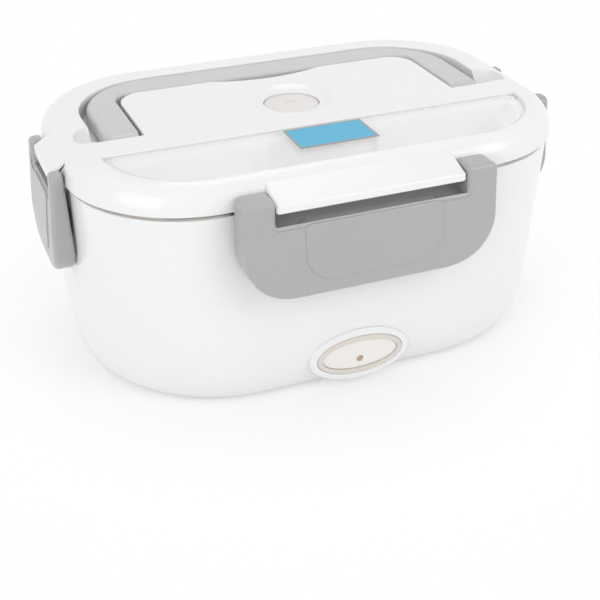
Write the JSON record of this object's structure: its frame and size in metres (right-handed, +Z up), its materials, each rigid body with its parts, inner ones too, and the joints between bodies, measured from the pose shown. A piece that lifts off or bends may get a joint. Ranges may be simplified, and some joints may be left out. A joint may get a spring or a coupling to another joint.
{
  "type": "electric lunch box",
  "caption": "Electric lunch box: white tub with heated pan and removable steel container, clip-on lid with carrying handle, cutlery tray and steam vent.",
  "frame": {"origin": "centre of the footprint, on the surface that the box stands on", "axes": "+Z up, +X along the length to the right seen from the front, +Y to the back; the indicator badge is on the -Y side"},
  "size_m": [0.2458, 0.1842, 0.1095],
  "materials": {
    "white_shell": "glossy white polypropylene",
    "white_inner": "satin white polypropylene",
    "foot_rubber": "pale grey matte rubber",
    "screw_steel": "zinc plated steel",
    "pan_steel": "stainless steel, softly brushed",
    "heater_alloy": "cast aluminium",
    "bracket_steel": "plain steel sheet",
    "nut_brass": "brass",
    "thermostat_black": "black phenolic",
    "fuse_ceramic": "pale ceramic",
    "board_green": "green circuit board",
    "lamp_plastic": "clear resin lamp",
    "badge_beige": "translucent beige plastic",
    "badge_pale": "pale translucent plastic",
    "inlet_black": "black moulded plastic",
    "pin_brass": "nickel washed brass",
    "gasket_silicone": "translucent silicone",
    "vent_silicone": "soft translucent silicone, slightly pink",
    "latch_grey": "satin grey plastic",
    "handle_grey": "satin light grey plastic",
    "tray_clear": "clear moulded plastic",
    "label_blue": "printed blue film"
  },
  "bodies": {
    "base": {"body_shell": "white_shell", "bottom_cover": "white_inner", "feet": "foot_rubber", "cover_screws": "screw_steel", "heating_pan": "pan_steel", "heater_plate": "heater_alloy", "clamp_bar": "bracket_steel", "clamp_nuts": "nut_brass", "thermostat": "thermostat_black", "thermal_fuse": "fuse_ceramic", "led_board": "board_green", "led": "lamp_plastic", "badge_ring": "badge_beige", "badge_window": "badge_pale", "inlet_housing": "inlet_black", "inlet_pins": "pin_brass", "inlet_screws": "screw_steel"},
    "container": {"food_container": "pan_steel"},
    "lid": {"lid_shell": "white_shell", "lid_liner": "white_inner", "gasket": "gasket_silicone"},
    "vent": {"vent_plug": "vent_silicone"},
    "front_latch": {"latch_front": "latch_grey"},
    "back_latch": {"latch_back": "latch_grey"},
    "left_latch": {"latch_left": "latch_grey"},
    "right_latch": {"latch_right": "latch_grey"},
    "carry_handle": {"handle": "handle_grey"},
    "tray_lid": {"tray_cover": "tray_clear", "label": "label_blue"}
  },
  "joints": [
    {"name": "lid_lift", "type": "slide", "parent": "base", "child": "lid", "axis": [0, 0, 1], "range_m": [0, 0.105]},
    {"name": "container_lift", "type": "slide", "parent": "base", "child": "container", "axis": [0, 0, 1], "range_m": [0, 0.0525]},
    {"name": "front_latch_swing", "type": "hinge", "parent": "lid", "child": "front_latch", "pos_m": [0, -0.0841, 0.1004], "axis": [-1, 0, 0], "range_deg": [0, 105]},
    {"name": "back_latch_swing", "type": "hinge", "parent": "lid", "child": "back_latch", "pos_m": [0, 0.0841, 0.0978], "axis": [1, 0, 0], "range_deg": [0, 105]},
    {"name": "left_latch_swing", "type": "hinge", "parent": "lid", "child": "left_latch", "pos_m": [-0.11755, -0.0015, 0.10005], "axis": [0, 1, 0], "range_deg": [0, 105]},
    {"name": "right_latch_swing", "type": "hinge", "parent": "lid", "child": "right_latch", "pos_m": [0.11755, -0.0015, 0.10005], "axis": [0, -1, 0], "range_deg": [0, 105]},
    {"name": "handle_swing", "type": "hinge", "parent": "lid", "child": "carry_handle", "pos_m": [0, -0.005, 0.102], "axis": [1, 0, 0], "range_deg": [0, 90]},
    {"name": "tray_lid_swing", "type": "hinge", "parent": "lid", "child": "tray_lid", "pos_m": [0, -0.0327, 0.1072], "axis": [-1, 0, 0], "range_deg": [0, 90]},
    {"name": "vent_pull", "type": "slide", "parent": "lid", "child": "vent", "axis": [0, 0, 1], "range_m": [0, 0.005]}
  ],
  "couplings": [
    {"joint": "container_lift", "follows": "lid_lift", "ratio": 0.5}
  ]
}
